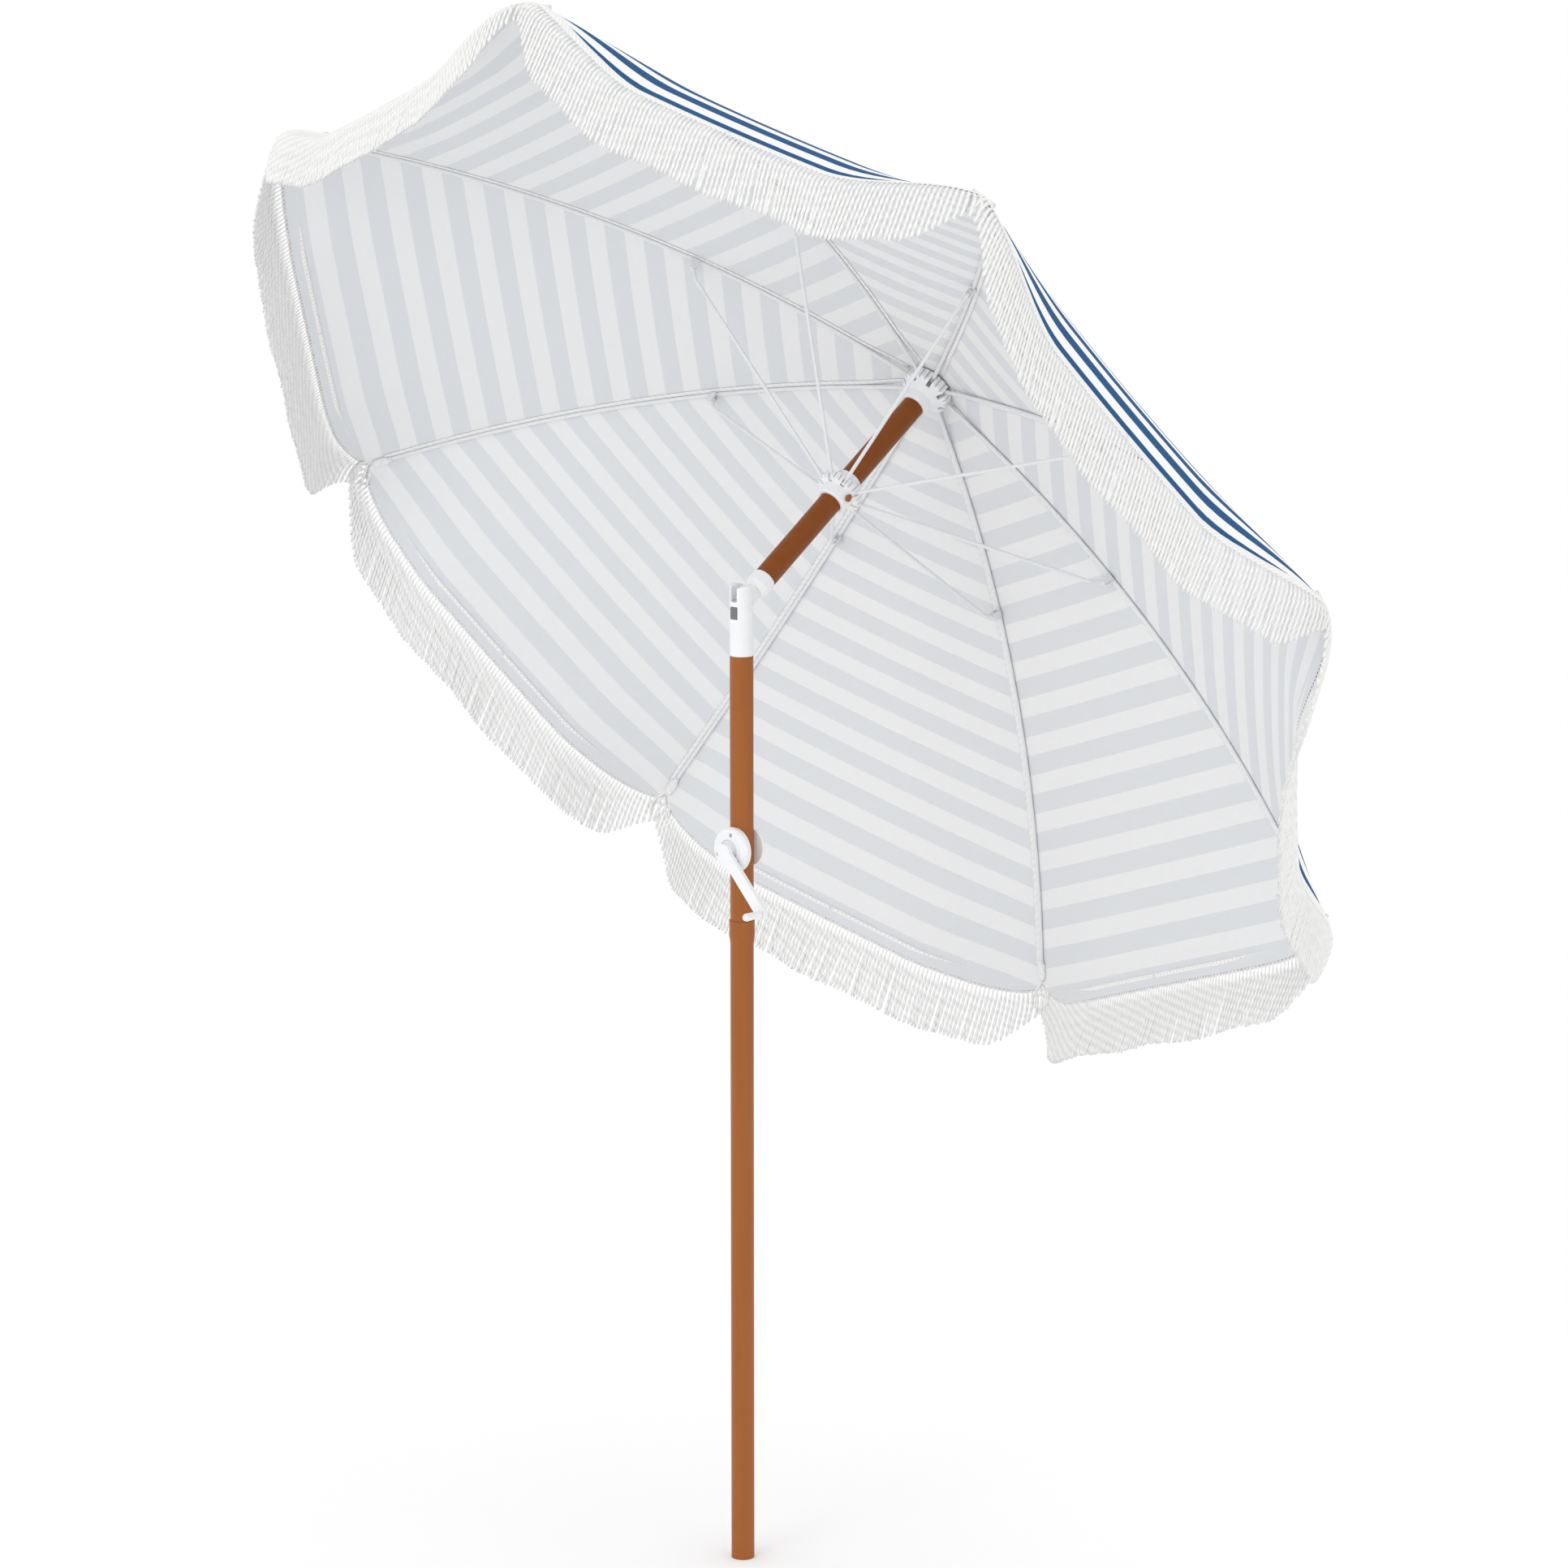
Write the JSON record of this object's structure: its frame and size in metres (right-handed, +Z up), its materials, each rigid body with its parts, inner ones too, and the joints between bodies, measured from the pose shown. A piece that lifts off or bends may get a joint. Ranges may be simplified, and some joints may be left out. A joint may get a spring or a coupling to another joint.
{
  "type": "beach umbrella",
  "caption": "Tilting crank-lift beach umbrella: two-piece pole, striped panelled canopy on folding ribs and struts, hanging cord fringe.",
  "frame": {"origin": "centre of the pole's bottom end", "axes": "+Z up along the pole, +X the way the mast leans, +Y along the tilt pivot"},
  "size_m": [1.267, 2.1138, 2.5647],
  "materials": {
    "brown_paint": "satin",
    "end_plug": "matte",
    "white_plastic": "semi-gloss",
    "grey_plastic": "matte",
    "frame_paint": "satin",
    "canopy_fabric": "woven, blue and white stripes",
    "fringe_cotton": "twisted cotton",
    "lift_cord": "braided",
    "bright_steel": "bright"
  },
  "bodies": {
    "pole": {"pole_end_plug": "end_plug", "lower_pole": "brown_paint", "upper_pole": "brown_paint", "tilt_bracket": "white_plastic", "tilt_pivot_bolt": "white_plastic", "button_spring": "bright_steel", "crank_housing": "white_plastic", "crank_back_cover": "white_plastic", "housing_screws": "bright_steel", "lift_cord_lower": "lift_cord"},
    "mast": {"mast_tube": "brown_paint", "tilt_yoke": "white_plastic", "top_hub": "white_plastic", "hub_ring_wire": "bright_steel", "cord_pulley": "bright_steel", "lift_cord_upper": "lift_cord", "canopy_cap": "white_plastic", "finial": "white_plastic"},
    "button": {"tilt_button": "grey_plastic"},
    "crank": {"crank_shaft": "bright_steel", "cord_drum": "bright_steel", "crank_arm": "white_plastic"},
    "knob": {"crank_knob": "white_plastic"},
    "runner": {"runner": "white_plastic", "runner_ring_wire": "bright_steel", "runner_screws": "brown_paint", "cord_carrier": "bright_steel"},
    "rib_1": {"rib_1": "frame_paint", "canopy_1": "canopy_fabric", "fringe_1": "fringe_cotton"},
    "rib_2": {"rib_2": "frame_paint", "canopy_2": "canopy_fabric", "fringe_2": "fringe_cotton"},
    "rib_3": {"rib_3": "frame_paint", "canopy_3": "canopy_fabric", "fringe_3": "fringe_cotton"},
    "rib_4": {"rib_4": "frame_paint", "canopy_4": "canopy_fabric", "fringe_4": "fringe_cotton"},
    "rib_5": {"rib_5": "frame_paint", "canopy_5": "canopy_fabric", "fringe_5": "fringe_cotton"},
    "rib_6": {"rib_6": "frame_paint", "canopy_6": "canopy_fabric", "fringe_6": "fringe_cotton"},
    "rib_7": {"rib_7": "frame_paint", "canopy_7": "canopy_fabric", "fringe_7": "fringe_cotton"},
    "rib_8": {"rib_8": "frame_paint", "canopy_8": "canopy_fabric", "fringe_8": "fringe_cotton"},
    "strut_1": {"strut_1": "frame_paint"},
    "strut_2": {"strut_2": "frame_paint"},
    "strut_3": {"strut_3": "frame_paint"},
    "strut_4": {"strut_4": "frame_paint"},
    "strut_5": {"strut_5": "frame_paint"},
    "strut_6": {"strut_6": "frame_paint"},
    "strut_7": {"strut_7": "frame_paint"},
    "strut_8": {"strut_8": "frame_paint"}
  },
  "joints": [
    {"name": "tilt", "type": "hinge", "parent": "pole", "child": "mast", "pos_m": [0, 0, 1.596], "axis": [0, 1, 0], "range_deg": [-55.45, 0]},
    {"name": "button_press", "type": "slide", "parent": "pole", "child": "button", "axis": [1, 0, 0], "range_m": [0, 0.003], "stiffness_N_per_m": 300, "deforming": ["button_spring"]},
    {"name": "crank_spin", "type": "hinge", "parent": "pole", "child": "crank", "pos_m": [0, 0, 1.2], "axis": [-1, 0, 0], "range_deg": [0, 935]},
    {"name": "knob_spin", "type": "hinge", "parent": "crank", "child": "knob", "pos_m": [-0.0444, -0.0832, 1.11078], "axis": [-1, 0, 0], "continuous": true},
    {"name": "runner_slide", "type": "slide", "parent": "mast", "child": "runner", "axis": [-0.8236, 0, -0.5671], "range_m": [0, 0.172], "deforming": ["lift_cord_upper"]},
    {"name": "rib_1_fold", "type": "hinge", "parent": "mast", "child": "rib_1", "pos_m": [0.45885, 0, 1.87552], "axis": [0, 1, 0], "range_deg": [0, 15.6], "deforming": ["canopy_1", "fringe_1"]},
    {"name": "rib_2_fold", "type": "hinge", "parent": "mast", "child": "rib_2", "pos_m": [0.45387, 0.02121, 1.88276], "axis": [-0.401, 0.7071, 0.5824], "range_deg": [0, 15.6], "deforming": ["canopy_2", "fringe_2"]},
    {"name": "rib_3_fold", "type": "hinge", "parent": "mast", "child": "rib_3", "pos_m": [0.44184, 0.03, 1.90023], "axis": [-0.5671, 0, 0.8236], "range_deg": [0, 15.6], "deforming": ["canopy_3", "fringe_3"]},
    {"name": "rib_4_fold", "type": "hinge", "parent": "mast", "child": "rib_4", "pos_m": [0.4298, 0.02121, 1.9177], "axis": [-0.401, -0.7071, 0.5824], "range_deg": [0, 15.6], "deforming": ["canopy_4", "fringe_4"]},
    {"name": "rib_5_fold", "type": "hinge", "parent": "mast", "child": "rib_5", "pos_m": [0.42482, 0, 1.92494], "axis": [0, -1, 0], "range_deg": [0, 15.6], "deforming": ["canopy_5", "fringe_5"]},
    {"name": "rib_6_fold", "type": "hinge", "parent": "mast", "child": "rib_6", "pos_m": [0.4298, -0.02121, 1.9177], "axis": [0.401, -0.7071, -0.5824], "range_deg": [0, 15.6], "deforming": ["canopy_6", "fringe_6"]},
    {"name": "rib_7_fold", "type": "hinge", "parent": "mast", "child": "rib_7", "pos_m": [0.44184, -0.03, 1.90023], "axis": [0.5671, 0, -0.8236], "range_deg": [0, 15.6], "deforming": ["canopy_7", "fringe_7"]},
    {"name": "rib_8_fold", "type": "hinge", "parent": "mast", "child": "rib_8", "pos_m": [0.45387, -0.02121, 1.88276], "axis": [0.401, 0.7071, -0.5824], "range_deg": [0, 15.6], "deforming": ["canopy_8", "fringe_8"]},
    {"name": "strut_1_turn", "type": "hinge", "parent": "runner", "child": "strut_1", "pos_m": [0.24542, 0, 1.72978], "axis": [0, -1, 0], "range_deg": [0, 10.3]},
    {"name": "strut_2_turn", "type": "hinge", "parent": "runner", "child": "strut_2", "pos_m": [0.2406, 0.02051, 1.73677], "axis": [0.401, -0.7071, -0.5824], "range_deg": [0, 10.3]},
    {"name": "strut_3_turn", "type": "hinge", "parent": "runner", "child": "strut_3", "pos_m": [0.22897, 0.029, 1.75366], "axis": [0.5671, 0, -0.8236], "range_deg": [0, 10.3]},
    {"name": "strut_4_turn", "type": "hinge", "parent": "runner", "child": "strut_4", "pos_m": [0.21734, 0.02051, 1.77055], "axis": [0.401, 0.7071, -0.5824], "range_deg": [0, 10.3]},
    {"name": "strut_5_turn", "type": "hinge", "parent": "runner", "child": "strut_5", "pos_m": [0.21252, 0, 1.77755], "axis": [0, 1, 0], "range_deg": [0, 10.3]},
    {"name": "strut_6_turn", "type": "hinge", "parent": "runner", "child": "strut_6", "pos_m": [0.21734, -0.02051, 1.77055], "axis": [-0.401, 0.7071, 0.5824], "range_deg": [0, 10.3]},
    {"name": "strut_7_turn", "type": "hinge", "parent": "runner", "child": "strut_7", "pos_m": [0.22897, -0.029, 1.75366], "axis": [-0.5671, 0, 0.8236], "range_deg": [0, 10.3]},
    {"name": "strut_8_turn", "type": "hinge", "parent": "runner", "child": "strut_8", "pos_m": [0.2406, -0.02051, 1.73677], "axis": [-0.401, -0.7071, 0.5824], "range_deg": [0, 10.3]}
  ],
  "couplings": [
    {"joint": "crank_spin", "follows": "runner_slide", "rad_per_m": 94.3},
    {"joint": "rib_1_fold", "follows": "runner_slide", "rad_per_m": 1.575},
    {"joint": "rib_2_fold", "follows": "runner_slide", "rad_per_m": 1.575},
    {"joint": "rib_3_fold", "follows": "runner_slide", "rad_per_m": 1.575},
    {"joint": "rib_4_fold", "follows": "runner_slide", "rad_per_m": 1.575},
    {"joint": "rib_5_fold", "follows": "runner_slide", "rad_per_m": 1.575},
    {"joint": "rib_6_fold", "follows": "runner_slide", "rad_per_m": 1.575},
    {"joint": "rib_7_fold", "follows": "runner_slide", "rad_per_m": 1.575},
    {"joint": "rib_8_fold", "follows": "runner_slide", "rad_per_m": 1.575},
    {"joint": "strut_1_turn", "follows": "runner_slide", "rad_per_m": 1.04},
    {"joint": "strut_2_turn", "follows": "runner_slide", "rad_per_m": 1.04},
    {"joint": "strut_3_turn", "follows": "runner_slide", "rad_per_m": 1.04},
    {"joint": "strut_4_turn", "follows": "runner_slide", "rad_per_m": 1.04},
    {"joint": "strut_5_turn", "follows": "runner_slide", "rad_per_m": 1.04},
    {"joint": "strut_6_turn", "follows": "runner_slide", "rad_per_m": 1.04},
    {"joint": "strut_7_turn", "follows": "runner_slide", "rad_per_m": 1.04},
    {"joint": "strut_8_turn", "follows": "runner_slide", "rad_per_m": 1.04}
  ]
}
